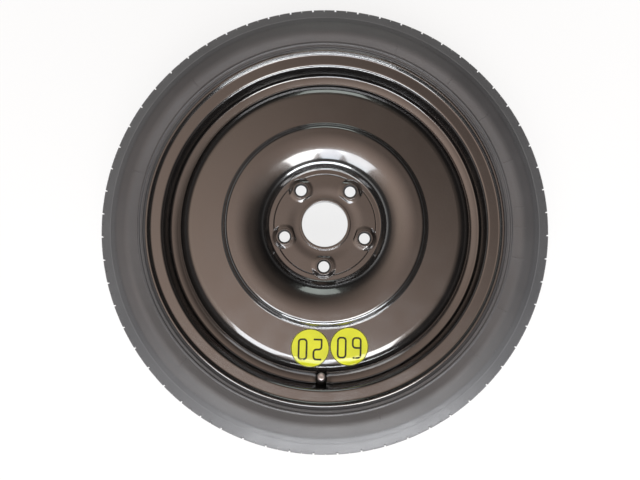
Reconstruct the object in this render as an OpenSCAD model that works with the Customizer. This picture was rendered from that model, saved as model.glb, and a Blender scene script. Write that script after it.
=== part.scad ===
// Space saver spare wheel: a narrow tyre on a rolled steel rim, a pressed
// steel disc welded inside it, a snap-in valve and two round labels.
// Frame: the wheel's axis is Z, the outer face looks up, and the origin is
// on the axis in the face that meets the hub. The valve is on the -Y side.

/* [Rim] */
// Width between the two bead faces
rim_width = 101.6; // [90:0.1:112]
// Diameter at the bead seats
seat_dia = 405.6; // [404:0.1:408]
// Thickness of the rolled rim sheet
rim_wall = 2.4; // [1.8:0.1:2.8]
// Distance from the rim's middle out to the hub face
offset = 41; // [37:0.5:45]
// Height of the flange above the bead seat
flange_height = 17.3; // [16.5:0.1:18]
// Outer radius of the flange's curl
flange_curl = 9.5; // [8.8:0.1:9.9]
// How far the flange's lip stands out from the bead face
flange_depth = 10.4; // [10:0.1:11]
// Depth of the drop well below the bead seat
well_depth = 16.6; // [16.2:0.1:17]
// Length of the flat part of the drop well
well_length = 32; // [30:0.5:36]
// Width of each bead seat, hump left out
seat_width = 19; // [18:0.5:20]
// Height of the hump that keeps the bead on its seat
hump_height = 0.8; // [0.4:0.1:1]

/* [Wheel disc] */
// Thickness of the pressed disc
disc_wall = 3.5; // [3:0.1:4]
// Diameter of the centre bore
bore_dia = 56.6; // [54:0.1:60]
// Height of the collar round the bore, above the hub face
collar_height = 12.5; // [11.5:0.1:14]
// Diameter of the circle through the wheel bolts
bolt_circle = 105; // [104:0.5:108]
// Number of wheel bolts
bolt_count = 5; // [4:1:5]
// Diameter of a bolt hole
bolt_hole = 13.5; // [12.5:0.1:14]
// Widest diameter of a bolt's conical seat
bolt_seat = 17.4; // [16.5:0.1:18]
// Outer diameter of the raised boss at a bolt hole
boss_dia = 26.2; // [24:0.1:27]
// Height of a bolt boss above the pad
boss_height = 3; // [2.4:0.1:3.4]
// Radius of the coined pad that holds the bolt bosses
pad_radius = 63; // [62:0.5:64]
// Height of the coined pad above the sheet round it
pad_step = 1; // [0.4:0.1:1.5]
// Height of the crown, to the middle of its sheet
crown_height = 21; // [17:0.5:24]
// Height of the flat outer face, to the middle of its sheet
face_height = 6.5; // [4:0.5:8]
// Length of the disc's flange inside the rim
disc_flange = 34; // [28:1:38]

/* [Tyre] */
// Largest diameter over the tread
tyre_dia = 567; // [560:1:572]
// Width of the tyre over its sidewalls
tyre_width = 124; // [122:0.5:126]
// Depth of the tread grooves
tread_depth = 4.6; // [3:0.1:5]
// Width of the round grooves
groove_width = 6; // [4:0.5:8]
// Distance between the round grooves
groove_pitch = 21; // [18:0.5:22]
// Number of notches round each shoulder
notch_count = 60; // [40:1:64]
// Width of a shoulder notch
notch_width = 2.2; // [1.5:0.1:3]

/* [Welds] */
// Number of weld beads between disc and rim
weld_count = 8; // [4:1:10]
// Angle that one weld bead covers
weld_angle = 26; // [16:1:30]
// Size of the weld bead's two legs
weld_leg = 4; // [3:0.5:5]

/* [Valve] */
// Diameter of the valve hole in the rim
valve_hole = 11.5; // [11.2:0.1:11.8]
// How far the valve hole lies inside the bead seat's radius
valve_inset = 10; // [9.5:0.1:10.5]
// Lean of the valve towards the wheel's centre
valve_lean = 16.5; // [15.5:0.5:19]
// Length of the rubber body outside the rim
rubber_length = 12; // [11.5:0.5:16]
// Length of the brass thread outside the rubber
thread_length = 11; // [10.5:0.5:12]
// Outer diameter of the valve's thread
thread_dia = 7.6; // [7.4:0.1:7.8]
// Outer diameter of the valve cap
cap_dia = 10.2; // [9.8:0.1:11]
// Length of the valve cap
cap_length = 12.8; // [12.5:0.1:14]
// Diameter of the core's pin
pin_dia = 1; // [0.9:0.05:1.1]
// Clearance round the parts that turn or slide
fit_gap = 0.06; // [0.04:0.01:0.09]

/* [Labels] */
// Diameter of a round label
label_dia = 47; // [40:0.5:47]
// How far the labels lie inside the middle of the flat face
label_inset = 2.2; // [1:0.1:4]
// Gap between the two labels
label_gap = 0.7; // [0.5:0.1:2]
// Thickness of a label
label_wall = 0.25; // [0.15:0.05:0.4]

/* [Hidden] */
$fn = 96;

mid_z = -offset;
half_width = rim_width / 2;
seat_r = seat_dia / 2;
seat_slope = tan(5);
rim_skin = rim_wall / 2;
disc_skin = disc_wall / 2;
well_r = seat_r - well_depth - rim_skin;
slope_top = half_width - seat_width - 4.8;
slope_run = 13.6;
slope_drop = 7.5;
well_top = slope_top - slope_drop;
well_bottom = well_top - well_length;
well_inner = seat_r - well_depth - rim_wall;
press_gap = 0.05;
disc_r = well_inner - press_gap;
valve_radius = seat_r - valve_inset;
crown_foot = pad_radius + 8.5;
crown_inner = pad_radius + 16;
crown_middle = pad_radius + 35;
crown_outer = pad_radius + 58;
groove_r = crown_outer + 5.3;
label_radius = (groove_r + disc_r) / 2 - label_inset;
weld_z = face_height - disc_wall - disc_flange;
tyre_r = tyre_dia / 2;
tyre_half = tyre_width / 2;
label_turn = -95.4;
label_spread = 2 * asin((label_dia + label_gap) / 2 / label_radius);
tiny = 0.02;

// Round a corner of a path: corner [x, y, radius] between its two neighbours.
function unit(v) = v / norm(v);
function flat(p) = [p[0], p[1]];
function corner(a, b, c, steps = 7) =
    let (u = unit(flat(a) - flat(b)), w = unit(flat(c) - flat(b)))
    let (bend = acos(max(-1, min(1, u * w))))
    let (reach = b[2] / tan(bend / 2))
    let (middle = flat(b) + unit(u + w) * b[2] / sin(bend / 2))
    let (from = flat(b) + u * reach - middle, to = flat(b) + w * reach - middle)
    let (sweep = acos(max(-1, min(1, unit(from) * unit(to)))))
    [for (i = [0:steps]) let (s = i / steps)
        middle + (from * sin((1 - s) * sweep) + to * sin(s * sweep)) / sin(sweep)];

// A path of straight runs and round corners, from a list of [x, y, radius].
function rounded(path) = [
    for (i = [0:len(path) - 1])
        for (p = (i == 0 || i == len(path) - 1 || path[i][2] == 0)
            ? [flat(path[i])] : corner(path[i - 1], path[i], path[i + 1]))
            p
];

// The points of a path moved sideways, to its left for a positive distance.
function heading(p, i) = unit(p[min(i + 1, len(p) - 1)] - p[max(i - 1, 0)]);
function shifted(p, by) = [
    for (i = [0:len(p) - 1]) let (h = heading(p, i)) p[i] + by * [-h[1], h[0]]
];
function backwards(p) = [for (i = [len(p) - 1:-1:0]) p[i]];

// Sheet metal of one thickness along a path, as a closed outline.
module sheet(path, wall) {
    line = rounded(path);
    polygon(concat(shifted(line, wall / 2), backwards(shifted(line, -wall / 2))));
}

// One half of the rim, from its lip to the well, s counted from the middle.
function rim_half(side, top, bottom) = [
    [seat_r + flange_height - rim_skin, mid_z + side * (half_width + flange_depth), 0],
    [seat_r + flange_height - rim_skin, mid_z + side * (half_width + rim_skin),
        flange_curl - rim_skin],
    [seat_r - rim_skin, mid_z + side * (half_width + rim_skin), 7.5],
    [seat_r - rim_skin - seat_width * seat_slope,
        mid_z + side * (half_width - seat_width), 4],
    [seat_r - rim_skin - seat_width * seat_slope + hump_height,
        mid_z + side * (half_width - seat_width - 2.4), 1.8],
    [well_r + slope_run, mid_z + side * top, 5],
    [well_r, mid_z + side * bottom, 3]
];

rim_path = concat(
    rim_half(1, slope_top, well_top),
    backwards(rim_half(-1, slope_top, -well_bottom))
);

// Where the slope that carries the valve lies at the valve's radius.
slope_rise = slope_drop / slope_run;
valve_z = mid_z + well_top + slope_rise * (valve_radius - well_r)
    + rim_skin * sqrt(1 + slope_rise * slope_rise);
rubber_r = 7;
spot_r = rubber_r + 0.5;
spot_wall = 2.7;
spot_edge = 0.1;
rubber_top_r = 5.3;
rubber_base_r = 7.4;
rubber_base = 7;
tube_foot = -spot_wall - rubber_base + 1;
tube_top = rubber_length + thread_length;
tube_foot_r = 2.9;
chamber_r = 2.65;
passage_r = 1.7;
barrel_r = 1.75;
chamber_foot = tube_top - 9;
seat_foot = chamber_foot - 2.6;
core_top = tube_top - 0.9;
head_length = 4;
core_foot = seat_foot - 4;
core_bore = pin_dia / 2 + fit_gap;
spring_room = barrel_r - 0.35;
pin_head_r = 0.95;
pin_top = tube_top - 0.35;
pin_foot = core_foot - 2.4;
spring_wire = 0.28;
spring_foot = core_foot + 2.4;
spring_top = core_top - 1.6;
spring_turns = 7;
collar_wall = 0.5;
cap_base = rubber_length + 0.6;
cap_top = cap_base + cap_length;
cap_bore = thread_dia / 2 + fit_gap;
cap_skin = 1.4;

// Put a piece on the valve's own axis, which leans towards the wheel's centre.
module at_valve() {
    translate([0, -valve_radius, valve_z]) rotate([-valve_lean, 0, 0]) children();
}

// A turned piece from its outline, given as [radius, height] points.
module turned(outline) {
    rotate_extrude() polygon(outline);
}

// A ring or a tube between two heights.
module tube(outer, inner, from, to) {
    translate([0, 0, from]) difference() {
        cylinder(r = outer, h = to - from);
        translate([0, 0, -1]) cylinder(r = inner, h = to - from + 2);
    }
}

// The rim is one rolled hoop, with a flat coined round its valve hole.
module rim() {
    color([0.03, 0.03, 0.03]) difference() {
        union() {
            difference() {
                rotate_extrude($fn = 180) sheet(rim_path, rim_wall);
                at_valve() cylinder(r = spot_r, h = 2.5);
                at_valve() translate([0, 0, -spot_wall - 3]) cylinder(r = spot_r, h = 3);
            }
            at_valve() translate([0, 0, -spot_wall + spot_edge])
                cylinder(r = spot_r + 4 * spot_edge, h = spot_wall - 2 * spot_edge);
        }
        at_valve() translate([0, 0, -20]) cylinder(d = valve_hole, h = 40);
    }
}

// The disc's sheet, from the bore's collar out to the flange inside the rim.
disc_path = [
    [bore_dia / 2 + disc_skin, collar_height, 0],
    [bore_dia / 2 + disc_skin, disc_skin + 1.6, 4],
    [bore_dia / 2 + disc_skin + 10, disc_skin, 8],
    [bore_dia / 2 + disc_skin + 14, disc_skin, 0],
    [pad_radius - 1, disc_skin, 0],
    [crown_foot, disc_skin, 5],
    [crown_inner, crown_height - 8.5, 18],
    [crown_middle, crown_height, 62],
    [crown_outer, crown_height - 0.6, 4.2],
    [groove_r, face_height + 1, 4.2],
    [disc_r - disc_skin, face_height, 17],
    [disc_r - disc_skin, weld_z, 0]
];

module bolt_places() {
    for (i = [0:bolt_count - 1])
        rotate([0, 0, -90 + i * 360 / bolt_count])
            translate([bolt_circle / 2, 0, 0])
                children();
}

// The disc is one pressing: collar, pad with bolt bosses, crown and outer face.
module wheel_disc() {
    pad_top = disc_wall + pad_step;
    pad_start = bore_dia / 2 + disc_wall + 10;
    boss_top = pad_top + boss_height;
    seat_depth = (bolt_seat - bolt_hole) / 2 / tan(30);
    color([0.03, 0.03, 0.03]) difference() {
        union() {
            rotate_extrude($fn = 180) {
                sheet(disc_path, disc_wall);
                translate([pad_start, disc_skin])
                    square([pad_radius - pad_start, pad_top - disc_skin]);
            }
            bolt_places() {
                translate([0, 0, disc_skin]) cylinder(d = boss_dia + 3, h = pad_top - disc_skin);
                translate([0, 0, pad_top - tiny])
                    cylinder(d1 = boss_dia, d2 = bolt_seat + 2, h = boss_height + tiny);
            }
        }
        bolt_places() {
            translate([0, 0, -1]) cylinder(d = bolt_hole, h = boss_top + 2);
            translate([0, 0, boss_top - seat_depth])
                cylinder(d1 = bolt_hole, d2 = bolt_seat, h = seat_depth);
            translate([0, 0, boss_top - tiny]) cylinder(d = bolt_seat, h = 2);
        }
    }
}

// Fillet welds in the corner between the disc's flange and the well.
module disc_welds() {
    weld_r = disc_r - disc_wall;
    root_r = well_inner - tiny;
    color([0.05, 0.05, 0.05])
        for (i = [0:weld_count - 1])
            rotate([0, 0, (i + 0.5) * 360 / weld_count - weld_angle / 2])
                rotate_extrude(angle = weld_angle, $fn = 180)
                    polygon([
                        [root_r, weld_z],
                        [root_r, weld_z - weld_leg],
                        [well_inner - weld_leg * 0.35, weld_z - weld_leg * 0.75],
                        [well_inner - weld_leg * 0.75, weld_z - weld_leg * 0.35],
                        [max(weld_r, well_inner - weld_leg), weld_z]
                    ]);
}

// The tyre's outside from the crown to the bead's toe, s counted from the middle.
curl_r = seat_r + flange_height - flange_curl;
curl_s = half_width + flange_curl;
curl_gap = 0.4;
toe_s = half_width - 17;
flange_r = seat_r + flange_height;
wall_scale = (tyre_r - flange_r) / 63.4;
side_scale = tyre_half / 62;
soft_scale = min(wall_scale, side_scale);
shoulder_s = tyre_half - 16 * side_scale;
shoulder_cut = tread_depth + 3.9;
tread_room = tread_depth + 5.4;
liner_foot = seat_r + 12;
liner_scale = (tyre_r - tread_room - liner_foot) / 58.7;
function beside_curl(a) = [
    curl_r + (flange_curl + curl_gap) * cos(a),
    curl_s - (flange_curl + curl_gap) * sin(a)
];
// A point of the sidewall, from its drop below the tread and its inset from
// the widest place, both as they are on a 63.4 mm high wall.
function wall_point(drop, inset, round) = [
    tyre_r - drop * wall_scale,
    tyre_half - inset * side_scale,
    round * soft_scale
];
function liner_point(drop, inset, round) = [
    tyre_r - tread_room - drop * liner_scale,
    tyre_half - inset * side_scale,
    round * min(liner_scale, side_scale)
];
tyre_outer = concat(
    rounded([
        [tyre_r, 0, 0],
        wall_point(1, 38, 90),
        wall_point(4.6, 16, 5),
        wall_point(18.4, 6.8, 5),
        wall_point(20, 5.4, 1.2),
        wall_point(27, 1.8, 14),
        wall_point(41, -0.5, 22),
        wall_point(53.5, 2.2, 2),
        wall_point(54.3, 1.4, 0.3),
        wall_point(55.6, 1.7, 0.3),
        wall_point(56.2, 2.8, 0.3),
        wall_point(58, 3.1, 0.3),
        wall_point(58.6, 2.5, 0.3),
        wall_point(59.6, 2.8, 0.3),
        wall_point(60.4, 4, 1),
        beside_curl(24)
    ]),
    [for (a = [30:10:80]) beside_curl(a)],
    rounded([
        [curl_r, half_width - curl_gap, 0],
        [seat_r + 0.1, half_width - curl_gap, 7.6],
        [seat_r + 0.1 - seat_slope * (half_width - toe_s), toe_s, 0]
    ])
);
// The tyre's inside, from the bead's toe back to the crown.
tyre_inner = rounded([
    [seat_r + 1.2 - seat_slope * (half_width - toe_s), toe_s - 1, 0],
    [liner_foot, toe_s + 4.5, 12 * min(1, liner_scale)],
    liner_point(46, 12, 12),
    liner_point(31, 7.5, 24),
    liner_point(9, 14.5, 14),
    liner_point(1.6, 25, 10),
    [tyre_r - tread_room, 0, 0]
]);
tyre_half_line = concat(tyre_outer, tyre_inner);
function on_side(line, side) = [for (p = line) [p[0], mid_z + side * p[1]]];

// The tyre is one moulding: casing, beads, sidewall ribs and grooved tread.
module tyre() {
    notch_reach = 13 * side_scale;
    color([0.16, 0.16, 0.17]) difference() {
        rotate_extrude($fn = 180)
            polygon(concat(on_side(tyre_half_line, 1), backwards(on_side(tyre_half_line, -1))));
        for (k = [-1:1])
            tube(tyre_r + 5, tyre_r - tread_depth,
                mid_z + k * groove_pitch * side_scale - groove_width / 2,
                mid_z + k * groove_pitch * side_scale + groove_width / 2);
        for (side = [-1, 1], i = [0:notch_count - 1])
            rotate([0, 0, (i + 0.25 * side) * 360 / notch_count])
                translate([tyre_r - shoulder_cut, -notch_width / 2,
                    mid_z + side * (shoulder_s - 5) - notch_reach])
                    cube([shoulder_cut + 10, notch_width, 2 * notch_reach]);
    }
}

// The snap-in body: a foot inside the rim, a neck in the hole, a tapered stem.
module valve_rubber() {
    neck = valve_hole / 2 - press_gap;
    foot = -spot_wall - press_gap;
    hollow = tube_foot_r;
    color([0.04, 0.04, 0.04]) at_valve() turned([
        [hollow, foot - rubber_base],
        [rubber_base_r - 2, foot - rubber_base],
        [rubber_base_r - 0.5, foot - rubber_base + 2],
        [rubber_base_r, foot - 1.4],
        [rubber_base_r - 0.8, foot],
        [neck, foot],
        [neck, press_gap],
        [rubber_r, press_gap],
        [rubber_r + 0.3, 1.2],
        [rubber_r, 2.4],
        [rubber_r - 0.8, 4.4],
        [rubber_top_r + 0.35, rubber_length * 0.6],
        [rubber_top_r, rubber_length - 0.8],
        [rubber_top_r - 0.8, rubber_length],
        [hollow, rubber_length]
    ]);
}

// The brass tube: a plain stem in the rubber, the cap's thread above it.
module valve_tube() {
    mouth = 0.4;
    color([0.72, 0.56, 0.25]) at_valve() turned([
        [passage_r, tube_foot],
        [tube_foot_r, tube_foot],
        [tube_foot_r, rubber_length],
        [thread_dia / 2 - 0.4, rubber_length],
        [thread_dia / 2, rubber_length + mouth],
        [thread_dia / 2, tube_top - mouth],
        [thread_dia / 2 - mouth, tube_top],
        [chamber_r, tube_top],
        [chamber_r, chamber_foot],
        [passage_r + 0.25, seat_foot],
        [passage_r + 0.25, core_foot - 1],
        [passage_r, core_foot - 1.6]
    ]);
}

// The core's body: a slotted head that screws in and a barrel with a hole.
module core_body() {
    color([0.78, 0.62, 0.3]) at_valve() difference() {
        union() {
            tube(chamber_r - fit_gap, core_bore, core_top - head_length, core_top);
            tube(barrel_r, core_bore, core_foot, core_top - head_length);
        }
        translate([0, 0, spring_foot]) cylinder(r = spring_room, h = 30);
        for (side = [-1, 1])
            translate([side * (chamber_r + 0.4) - 1, -2, core_top - 1.8]) cube([2, 4, 3]);
    }
}

// The tapered ring that seals the core against the tube.
module core_seal() {
    color([0.6, 0.1, 0.08]) at_valve() turned([
        [barrel_r + tiny, seat_foot + 0.3],
        [passage_r + 0.2, seat_foot + 0.3],
        [chamber_r - 0.15, chamber_foot + 0.2],
        [chamber_r - 0.15, chamber_foot + 1.2],
        [barrel_r + tiny, chamber_foot + 1.2]
    ]);
}

// The pin: a head to press on, a collar for the spring and a cup at its foot.
module valve_pin() {
    cup_r = barrel_r - 0.15;
    shank = pin_dia / 2;
    color([0.75, 0.6, 0.3]) at_valve() turned([
        [0, pin_foot - 0.8],
        [cup_r, pin_foot - 0.8],
        [cup_r, pin_foot],
        [shank, pin_foot],
        [shank, spring_top],
        [pin_head_r + 0.2, spring_top],
        [pin_head_r + 0.2, spring_top + collar_wall],
        [shank, spring_top + collar_wall],
        [shank, pin_top - 0.5],
        [pin_head_r - 0.15, pin_top - 0.5],
        [pin_head_r - 0.15, pin_top],
        [0, pin_top]
    ]);
}

// The rubber washer in the pin's cup, which closes the foot of the barrel.
module pin_seal() {
    color([0.05, 0.05, 0.05]) at_valve()
        tube(barrel_r - 0.15, pin_dia / 2 + tiny, pin_foot + tiny, core_foot - tiny);
}

// One turn of wire is a ring of small six-sided sections along a helix.
module core_spring() {
    coil_r = (pin_dia / 2 + spring_room) / 2;
    wire = spring_wire / 2;
    sides = 6;
    per_turn = 12;
    rings = spring_turns * per_turn;
    rise = spring_top - spring_foot - spring_wire - 2 * tiny;
    points = [
        for (i = [0:rings], k = [0:sides - 1])
            let (turn = i * 360 / per_turn, a = k * 360 / sides)
            let (r = coil_r + wire * cos(a))
            [r * cos(turn), r * sin(turn),
                spring_foot + spring_wire / 2 + tiny + rise * i / rings + wire * sin(a)]
    ];
    walls = [
        for (i = [0:rings - 1], k = [0:sides - 1])
            let (a = i * sides + k, b = i * sides + (k + 1) % sides)
            [a, a + sides, b + sides, b]
    ];
    first = [for (k = [0:sides - 1]) k];
    last = [for (k = [sides - 1:-1:0]) rings * sides + k];
    color([0.7, 0.7, 0.72]) at_valve() polyhedron(points, concat([first], walls, [last]));
}

// The cap: a knurled skirt, a domed end and a thread's bore inside.
module valve_cap() {
    grip_count = 18;
    grip_r = 0.55;
    roof = cap_top - cap_skin;
    color([0.6, 0.58, 0.57]) at_valve() difference() {
        turned([
            [cap_bore, cap_base],
            [cap_dia / 2 - 0.4, cap_base],
            [cap_dia / 2, cap_base + 0.5],
            [cap_dia / 2, cap_top - 2],
            [cap_dia / 2 - 0.5, cap_top - 0.9],
            [cap_dia / 2 - 1.4, cap_top - 0.3],
            [cap_dia / 2 - 2.8, cap_top],
            [0, cap_top],
            [0, roof],
            [cap_bore, roof]
        ]);
        for (i = [0:grip_count - 1])
            rotate([0, 0, i * 360 / grip_count])
                translate([cap_dia / 2 + grip_r * 0.55, 0, cap_base - 1])
                    cylinder(r = grip_r, h = cap_length - 2.2, $fn = 16);
    }
}

// The soft washer under the cap's roof, which meets the tube's mouth.
module cap_seal() {
    color([0.1, 0.1, 0.1]) at_valve()
        tube(cap_bore - 0.25, chamber_r + 0.1, tube_top + tiny, cap_top - cap_skin - tiny);
}

// A label is a thin round film that follows the disc over its outer bend.
module label(turn) {
    line = rounded(disc_path);
    top = shifted(line, disc_skin);
    film = concat(top, backwards(shifted(line, disc_skin + label_wall)));
    intersection() {
        rotate_extrude($fn = 180) polygon(film);
        rotate([0, 0, turn]) translate([label_radius, 0, face_height - 20])
            cylinder(d = label_dia, h = 60);
    }
}

module label_left() {
    color([0.92, 0.95, 0.08]) label(label_turn);
}

module label_right() {
    color([0.92, 0.95, 0.08]) label(label_turn + label_spread);
}

tyre();
rim();
wheel_disc();
disc_welds();
valve_rubber();
valve_tube();
core_body();
core_seal();
valve_pin();
pin_seal();
core_spring();
valve_cap();
cap_seal();
label_left();
label_right();
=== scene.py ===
import math

import bmesh
import bpy
from mathutils import Matrix, Vector
from mathutils.geometry import delaunay_2d_cdt


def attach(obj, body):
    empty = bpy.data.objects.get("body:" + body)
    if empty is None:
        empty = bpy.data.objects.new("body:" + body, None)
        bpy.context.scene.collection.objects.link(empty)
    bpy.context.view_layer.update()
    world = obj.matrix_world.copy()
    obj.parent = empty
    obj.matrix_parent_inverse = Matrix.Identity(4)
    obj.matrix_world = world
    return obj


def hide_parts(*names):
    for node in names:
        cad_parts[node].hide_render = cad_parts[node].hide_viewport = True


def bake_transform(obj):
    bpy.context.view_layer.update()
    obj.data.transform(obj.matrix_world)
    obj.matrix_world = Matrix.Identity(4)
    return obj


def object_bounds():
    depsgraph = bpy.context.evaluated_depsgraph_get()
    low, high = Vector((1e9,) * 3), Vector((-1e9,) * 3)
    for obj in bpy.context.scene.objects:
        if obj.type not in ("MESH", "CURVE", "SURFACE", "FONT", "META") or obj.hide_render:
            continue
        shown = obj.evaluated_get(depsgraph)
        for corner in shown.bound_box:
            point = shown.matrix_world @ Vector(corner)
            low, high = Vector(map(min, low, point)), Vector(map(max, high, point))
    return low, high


# Frame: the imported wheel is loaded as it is, with its axis upright along Z,
# the painted outer face looking up and the valve on the -Y side.
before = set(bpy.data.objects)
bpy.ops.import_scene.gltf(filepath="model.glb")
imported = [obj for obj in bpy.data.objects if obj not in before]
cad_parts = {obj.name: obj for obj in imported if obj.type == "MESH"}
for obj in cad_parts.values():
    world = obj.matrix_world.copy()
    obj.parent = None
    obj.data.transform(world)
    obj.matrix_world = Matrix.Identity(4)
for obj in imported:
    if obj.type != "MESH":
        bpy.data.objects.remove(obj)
cad_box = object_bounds()
scene = bpy.context.scene
scene.view_settings.view_transform = "Standard"
mm = 0.001

# Camera: it hangs almost straight above the wheel, a little on the valve's
# side, with the lens and framing that fit the bolt holes and the tyre.
camera_azimuth = math.radians(1.83)
camera_elevation = math.radians(84.28)
camera_roll = math.radians(-0.50)
camera_distance = 785 * mm
picture_wide, focal_pixels, shift_right, shift_up = 640, 625, -4.8, -15.1
camera_back = Vector((
    math.sin(camera_azimuth) * math.cos(camera_elevation),
    -math.cos(camera_azimuth) * math.cos(camera_elevation),
    math.sin(camera_elevation),
))
camera_right = Vector((math.cos(camera_azimuth), math.sin(camera_azimuth), 0))
camera_up = camera_right.cross(-camera_back)
rolled_right = camera_right * math.cos(camera_roll) + camera_up * math.sin(camera_roll)
rolled_up = camera_up * math.cos(camera_roll) - camera_right * math.sin(camera_roll)
camera_data = bpy.data.cameras.new("camera")
camera_data.sensor_width = 36
camera_data.lens = 36 * focal_pixels / picture_wide
camera_data.shift_x = shift_right / picture_wide
camera_data.shift_y = shift_up / picture_wide
camera_data.clip_start = 0.01
camera_data.clip_end = 60
camera = bpy.data.objects.new("camera", camera_data)
scene.collection.objects.link(camera)
camera.matrix_world = Matrix.Translation(camera_back * camera_distance) @ Matrix(
    (rolled_right, rolled_up, camera_back)
).transposed().to_4x4()
scene.camera = camera


# Floor: a wide plain white sheet under the tyre's lower sidewall. It takes the
# wheel's soft shadow, and shows as white to the camera and in reflections.
def add_node(tree, kind, values=None, **settings):
    node = tree.nodes.new(kind)
    for key, value in settings.items():
        setattr(node, key, value)
    for key, value in (values or {}).items():
        node.inputs[key].default_value = value
    return node


def new_material(name):
    material = bpy.data.materials.new(name)
    material.use_nodes = True
    material.node_tree.nodes.clear()
    return material, material.node_tree


floor_z = cad_box[0].z - 0.2 * mm
floor_reach = 9.0
floor_glow = 0.82
floor_tint = (0.93, 0.93, 0.925, 1)
floor_mesh = bpy.data.meshes.new("floor")
floor_mesh.from_pydata(
    [(x * floor_reach, y * floor_reach, floor_z) for x, y in ((-1, -1), (1, -1), (1, 1), (-1, 1))],
    [], [(0, 1, 2, 3)],
)
floor = bpy.data.objects.new("floor", floor_mesh)
scene.collection.objects.link(floor)
floor_finish, tree = new_material("floor sheet")
floor_out = add_node(tree, "ShaderNodeOutputMaterial")
floor_matt = add_node(tree, "ShaderNodeBsdfDiffuse", {"Color": floor_tint})
floor_light = add_node(tree, "ShaderNodeEmission", {"Color": (1, 1, 1, 1), "Strength": 1.0})
floor_mix = add_node(tree, "ShaderNodeMixShader")
floor_path = add_node(tree, "ShaderNodeLightPath")
floor_seen = add_node(tree, "ShaderNodeMath", operation="MAXIMUM")
floor_seen_clear = add_node(tree, "ShaderNodeMath", operation="MAXIMUM")
floor_share = add_node(tree, "ShaderNodeMath", {1: floor_glow}, operation="MULTIPLY")
for output, socket in (
    (floor_path.outputs["Is Camera Ray"], floor_seen.inputs[0]),
    (floor_path.outputs["Is Glossy Ray"], floor_seen.inputs[1]),
    (floor_seen.outputs[0], floor_seen_clear.inputs[0]),
    (floor_path.outputs["Is Transmission Ray"], floor_seen_clear.inputs[1]),
    (floor_seen_clear.outputs[0], floor_share.inputs[0]),
    (floor_share.outputs[0], floor_mix.inputs["Fac"]),
    (floor_matt.outputs[0], floor_mix.inputs[1]),
    (floor_light.outputs[0], floor_mix.inputs[2]),
    (floor_mix.outputs[0], floor_out.inputs["Surface"]),
):
    tree.links.new(output, socket)
floor_mesh.materials.append(floor_finish)

# Light: a room whose warm ceiling is brighter on the -X and -Y sides, three tall
# windows and a low bright strip on the valve's side, and a weak lamp opposite.
world = bpy.data.worlds.new("room")
scene.world = world
world.use_nodes = True
tree = world.node_tree
tree.nodes.clear()
world_out = add_node(tree, "ShaderNodeOutputWorld")
room = add_node(tree, "ShaderNodeBackground")
room_place = add_node(tree, "ShaderNodeTexCoord")
room_split = add_node(tree, "ShaderNodeSeparateXYZ")
room_height = add_node(tree, "ShaderNodeValToRGB")
ramp = room_height.color_ramp
ramp.interpolation = "EASE"
ramp.elements[0].position = 0.0
ramp.elements[0].color = (0.93, 0.93, 0.925, 1)
ramp.elements[1].position = 1.0
ramp.elements[1].color = (0.86, 0.64, 0.53, 1)
for position, color in (
    (0.16, (0.45, 0.45, 0.45, 1)),
    (0.38, (0.035, 0.035, 0.035, 1)),
    (0.66, (0.06, 0.05, 0.045, 1)),
    (0.90, (0.70, 0.53, 0.43, 1)),
):
    stop = ramp.elements.new(position)
    stop.color = color
room_sides = add_node(
    tree, "ShaderNodeVectorMath", {1: (-1.65, -1.5, 0)}, operation="DOT_PRODUCT")
room_level = add_node(tree, "ShaderNodeMapRange", {
    "From Min": -0.85, "From Max": 0.65, "To Min": 0.25, "To Max": 1.75})
room_far = add_node(tree, "ShaderNodeMapRange", {"From Min": -0.05, "From Max": 0.08})
room_even = add_node(tree, "ShaderNodeMix", {2: 1.0}, data_type="FLOAT")
for output, socket in (
    (room_place.outputs["Generated"], room_split.inputs[0]),
    (room_place.outputs["Generated"], room_sides.inputs[0]),
    (room_split.outputs["Z"], room_height.inputs["Fac"]),
    (room_split.outputs["Z"], room_far.inputs["Value"]),
    (room_sides.outputs["Value"], room_level.inputs["Value"]),
    (room_far.outputs["Result"], room_even.inputs[0]),
    (room_level.outputs["Result"], room_even.inputs[3]),
    (room_even.outputs[0], room.inputs["Strength"]),
    (room_height.outputs["Color"], room.inputs["Color"]),
    (room.outputs[0], world_out.inputs["Surface"]),
):
    tree.links.new(output, socket)


def hang_panel(name, azimuth, elevation, distance, width, height, power, color):
    a, e = math.radians(azimuth), math.radians(elevation)
    back = Vector((math.sin(a) * math.cos(e), math.cos(a) * math.cos(e), math.sin(e)))
    data = bpy.data.lights.new(name, "AREA")
    data.shape = "RECTANGLE"
    data.size, data.size_y = width, height
    data.energy = power
    data.color = color
    panel = bpy.data.objects.new(name, data)
    panel.location = back * distance
    panel.rotation_mode = "QUATERNION"
    panel.rotation_quaternion = back.to_track_quat("Z", "Y")
    scene.collection.objects.link(panel)


hang_panel("window_left", 156, 59.2, 2.6, 0.64, 1.21, 21, (1.0, 1.0, 1.0))
hang_panel("window_middle", 184.5, 59.2, 2.6, 0.50, 1.21, 10, (0.84, 0.91, 1.0))
hang_panel("window_right", 213, 59.2, 2.6, 0.64, 1.21, 14, (0.90, 0.95, 1.0))
hang_panel("light_low", 172, 14, 2.6, 3.4, 0.5, 95, (0.95, 0.97, 1.0))
hang_panel("light_back", 2, 38, 2.6, 0.9, 1.0, 6.0, (0.92, 1.0, 0.94))


# Rim: one strip of 2.4 mm steel, rolled to its section and butt welded into a
# hoop, with a flat coined round the valve hole, dipped in black enamel.
def unit(v):
    return v / v.length


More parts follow.
